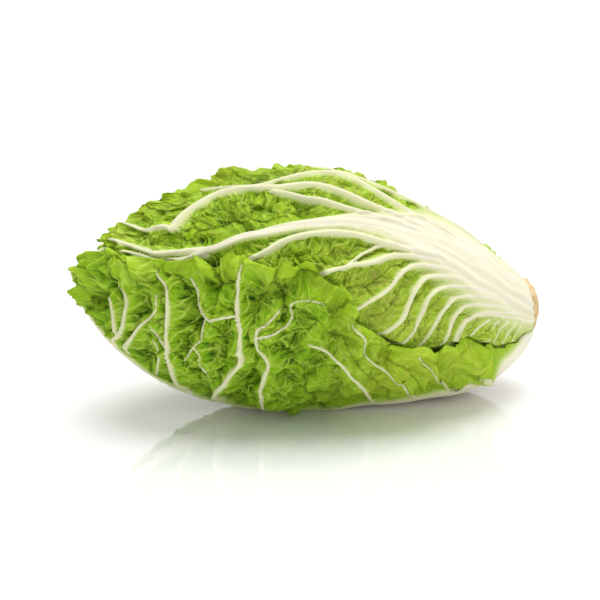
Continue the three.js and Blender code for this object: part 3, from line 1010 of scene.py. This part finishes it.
backLeaf = usualLeaf | {
    "name": "back_leaf",
    "layer": 2,
    "seed": 31,
    "start": 15.0,
    "reach": 160.0,
    "tipRound": 0.06,
    "midrib": [(14, 158), (50, 156), (90, 156), (130, 158), (160, 164)],
    "low": [(14, 92), (40, 94), (60, 80), (100, 72), (130, 78), (160, 80)],
    "high": [(14, 218), (40, 220), (60, 232), (100, 242), (130, 244), (160, 250)],
    "ribWidth": [(14, 18), (35, 32), (50, 34), (65, 24), (80, 13), (100, 7), (130, 4), (160, 2)],
    "ribSoft": 20.0,
    "raised": 6.0,
    "bladeDepth": 3.6,
    "sag": 2.2,
    "crumple": 1.2,
    "frill": 4.5,
    "frillFrom": (45, 80),
    "closing": 0.3,
    "crease": 1.3,
    "creaseSize": 17.0,
    "lobes": [(40, 106, 12, 3, 0), (56, 106, 12, 3, 0), (72, 114, 14, 4, 0), (88, 118, 13, 4, 0),
              (104, 120, 12, 3, 0)],
    "twigEvery": 8.0,
    "crinkle": crinkles((11.0, 1.2), (4.4, 0.4), (5.0, 0.8), 5.0),
    "laterals": {"sides": (-1, 1), "count": 12, "first": 42.0, "last": 136.0, "sweep": 24.0},
}


# each is turned by the golden angle from the one outside it; the wrappers are paler and their mesh is finer
inner = {"firstTurn": 95, "turn": 137.5, "wrappers": 3, "halfWidth": 96, "budHalfWidth": 160}


def innerLeaf(name, n):
    turn = inner["firstTurn"] + inner["turn"] * n
    wrapper = n < inner["wrappers"]
    half = inner["budHalfWidth"] if name == "heart_bud" else inner["halfWidth"]
    return usualLeaf | {
        "name": name,
        "slot": "wrapper_leaf" if wrapper else "inner_leaf",
        "layer": 3 + n,
        "grid": (140, 120) if wrapper else (80, 70),
        "seed": 50 + 9 * n,
        "start": 14.0,
        "reach": 178.5,
        "tipRound": 0.05,
        "midrib": [(14, turn), (176, turn)],
        "low": [(14, turn - 58), (90, turn - half), (176, turn - half - 14)],
        "high": [(14, turn + 58), (90, turn + half), (176, turn + half + 14)],
        "ribWidth": [(14, 16), (45, 24), (80, 10), (120, 4), (176, 2)],
        "ribSoft": 30.0,
        "raised": 2.0 if wrapper else 0.0,
        "bladeDepth": 1.6,
        "sag": 0.8,
        "crumple": 0.6,
        "frill": 3.0,
        "frillReach": 8.0,
        "frillFrom": (60, 75),
        "closing": 0.8,
        "crease": 0.8,
        "creaseSize": 15.0,
        "thin": 0.7,
        "thick": 1.6,
        "twigEvery": 30.0,
        "crinkle": crinkles((9.0, 0.5), (4.0, 0.2), (5.0, 0.5), 3.0),
        "laterals": {"sides": (-1, 1), "count": 7, "first": 50.0, "last": 136.0, "sweep": 24.0},
    }


innerNames = ["upper_wrapper_leaf", "back_wrapper_leaf", "front_wrapper_leaf"]
innerNames += [f"inner_leaf_{k}" for k in range(1, 7)] + ["heart_bud"]

groups = {"veinlets": veinletGroup(), "windings": windingGroup(), "mottle": mottleGroup()}
tree = crinkleTree()
for leaf, tones in ((bottomLeaf, greenTones), (frontLeaf, frontTones), (backLeaf, greenTones)):
    makeLeaf(leaf, tree, leafMaterial(leaf["name"] + "_skin", tones, leaf["crinkle"]))
wrapperSkin = leafMaterial("wrapper_skin", paleTones, innerLeaf("", 0)["crinkle"])
heartSkin = leafMaterial("heart_skin", heartTones, innerLeaf("", inner["wrappers"])["crinkle"])
for n, name in enumerate(innerNames):
    makeLeaf(innerLeaf(name, n), tree, wrapperSkin if n < inner["wrappers"] else heartSkin)
print("leaves made")

# the cut stem that all of them grow from, down inside the head
stem = {
    "profile": [(152.4, 0.0), (152.4, 4.0), (152.2, 8.0), (151.9, 12.5), (151.6, 15.0), (150.6, 17.0),
                (148.5, 18.2), (145.0, 18.8), (138.0, 17.0), (124.0, 12.0), (100.0, 9.0), (74.0, 6.0),
                (50.0, 3.0), (50.0, 0.0)],  # mm along from the head's middle, and radius
    "lift": 4.0,
    "liftFrom": (120, 150),
    "faceFrom": (147, 150.5),
    "lumps": 0.03,
    "lumpsFrom": (140, 150),
    "sides": 96,
    "steps": 4,
    "roughness": 0.5,
    "seed": 71,
    "pale": colour(0.95, 0.87, 0.68),
    "tan": colour(0.84, 0.70, 0.46),
    "brown": colour(0.66, 0.50, 0.30),
    "mottleScale": 160.0,
    "speckScale": 900.0,
    "specks": (0.5, 0.75, 0.0, 0.6),
    "gloss": (0.3, 0.7, 0.6, 0.8),
    "bumpStrength": 0.7,
    "bumpDistance": 0.0008,
}


def makeStem():
    profile = np.array(stem["profile"])
    at = np.arange(len(profile))
    fine = np.linspace(0, len(profile) - 1, (len(profile) - 1) * stem["steps"] + 1)[1:-1]
    x, r = np.interp(fine, at, profile[:, 0]), np.interp(fine, at, profile[:, 1])
    turn = np.arange(stem["sides"]) * 2 * math.pi / stem["sides"]
    X, T = np.meshgrid(x, turn, indexing="ij")
    R = np.repeat(r[:, None], stem["sides"], 1)
    spots = np.stack([X, R * np.cos(T), R * np.sin(T)], -1)
    rough = stem["roughness"] * waves(spots, 5, stem["seed"])
    rough += 0.5 * stem["roughness"] * waves(spots, 2.2, stem["seed"] + 1)
    facing = smooth(X, *stem["faceFrom"])
    X = X + rough * facing - 0.6 * np.maximum(rough, 0) * facing
    R = R * (1 + stem["lumps"] * waves(spots, 9, stem["seed"] + 2) * smooth(X, *stem["lumpsFrom"]))
    share = np.clip(X / head["baseReach"], 0, 1)
    middle = stem["lift"] * smooth(X, *stem["liftFrom"])
    middle = middle - head["baseDroop"] * (1 - np.cos(math.pi * share)) / 2
    points = np.stack([X, R * np.cos(T), middle + R * np.sin(T)], -1).reshape(-1, 3)
    first, last = profile[0], profile[-1]
    ends = [[first[0], 0, points[:stem["sides"], 2].mean()], [last[0], 0, points[-stem["sides"]:, 2].mean()]]
    points = np.vstack([points, ends])
    grid = np.arange(len(x) * stem["sides"]).reshape(len(x), stem["sides"])
    ahead = np.roll(grid, -1, 1)
    quads = np.stack([grid[:-1], grid[1:], ahead[1:], ahead[:-1]], -1).reshape(-1, 4).tolist()
    caps = [[grid.size, a, b] for a, b in zip(grid[0], ahead[0])]
    caps += [[grid.size + 1, b, a] for a, b in zip(grid[-1], ahead[-1])]
    mesh = bpy.data.meshes.new("stem")
    mesh.from_pydata((points + headMiddle) * 0.001, [], quads + caps)
    mesh.validate()
    mesh.shade_smooth()
    piece = placed("stem", mesh)
    mesh.materials.append(stemMaterial())
    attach(piece, "root")
    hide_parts("stem_core")
    print("stem made")


def stemMaterial():
    material, kit = newMaterial("cut_stem")
    place = kit.add("ShaderNodeTexCoord").outputs["Object"]
    mottle = kit.group(groups["mottle"], "Tone", Where=place, Scale=stem["mottleScale"])
    speck = kit.noise(place, stem["speckScale"], 4.0).outputs["Fac"]
    tone = kit.mix(mottle, stem["pale"], stem["tan"])
    tone = kit.mix(kit.spread(speck, *stem["specks"]), tone, stem["brown"])
    bump = {"Height": speck, "Strength": stem["bumpStrength"], "Distance": stem["bumpDistance"]}
    surface(kit, {"Base Color": tone, "Roughness": kit.spread(speck, *stem["gloss"])}, bump)
    return material


makeStem()

# floor, light and camera
studio = {
    "azimuth": -14.0,
    "elevation": 15.0,
    "distance": 0.907,
    "lens": 85.0,
    "aimHeight": 0.077,
    "aimRight": -0.0064,
    "aimUp": -0.0083,
    "worldLight": 0.56,
    "backdrop": 1.03,
    "topLight": 2.2,
    "topFrom": (0.05, 0.1, 1.0),
    "topSpread": 45.0,
    "fillLight": 0.35,
    "fillFrom": (0.3, -1.0, 0.8),
    "fillSpread": 70.0,
    "floorSize": 6.0,
    "floorTone": 0.97,
    "floorRoughness": 0.04,
    "floorGloss": 1.9,
}


def makeStudio():
    half = studio["floorSize"]
    corners = [(-half, -half, 0), (half, -half, 0), (half, half, 0), (-half, half, 0)]
    mesh = bpy.data.meshes.new("floor")
    mesh.from_pydata(corners, [], [(0, 1, 2, 3)])
    floor = placed("floor", mesh)
    material, kit = newMaterial("floor_gloss")
    surface(kit, {"Base Color": (studio["floorTone"],) * 3 + (1,), "Roughness": studio["floorRoughness"],
                  "IOR": studio["floorGloss"]})
    mesh.materials.append(material)
    world = bpy.data.worlds.new("studio")
    world.use_nodes = True
    kit = nodeKit(world.node_tree)
    rays = kit.add("ShaderNodeLightPath").outputs
    seen = kit.sums("MAXIMUM", rays["Is Camera Ray"], rays["Is Glossy Ray"])
    inputs = {"Value": seen, "To Min": studio["worldLight"], "To Max": studio["backdrop"]}
    sky = world.node_tree.nodes["Background"].inputs
    kit.put(sky["Strength"], kit.add("ShaderNodeMapRange", inputs).outputs["Result"])
    sky["Color"].default_value = (1, 1, 1, 1)
    bpy.context.scene.world = world
    for side in ("top", "fill"):
        lamp = bpy.data.lights.new("soft_" + side, "SUN")
        lamp.energy = studio[side + "Light"]
        lamp.angle = math.radians(studio[side + "Spread"])
        lit = placed("soft_" + side, lamp)
        lit.location = studio[side + "From"]
        lit.rotation_euler = Vector(studio[side + "From"]).to_track_quat("Z", "Y").to_euler()
    bpy.context.scene.view_settings.view_transform = "Standard"


def makeCamera():
    a, e = math.radians(studio["azimuth"]), math.radians(studio["elevation"])
    back = Vector((math.sin(a) * math.cos(e), -math.cos(a) * math.cos(e), math.sin(e)))
    right = Vector((math.cos(a), math.sin(a), 0))
    up = back.cross(right)
    data = bpy.data.cameras.new("camera")
    data.lens = studio["lens"]
    camera = placed("camera", data)
    aim = Vector((headMiddle[0] * 0.001, 0, studio["aimHeight"]))
    camera.location = aim + back * studio["distance"] + right * studio["aimRight"] + up * studio["aimUp"]
    camera.rotation_euler = (-back).to_track_quat("-Z", "Y").to_euler()
    bpy.context.scene.camera = camera


makeStudio()
makeCamera()
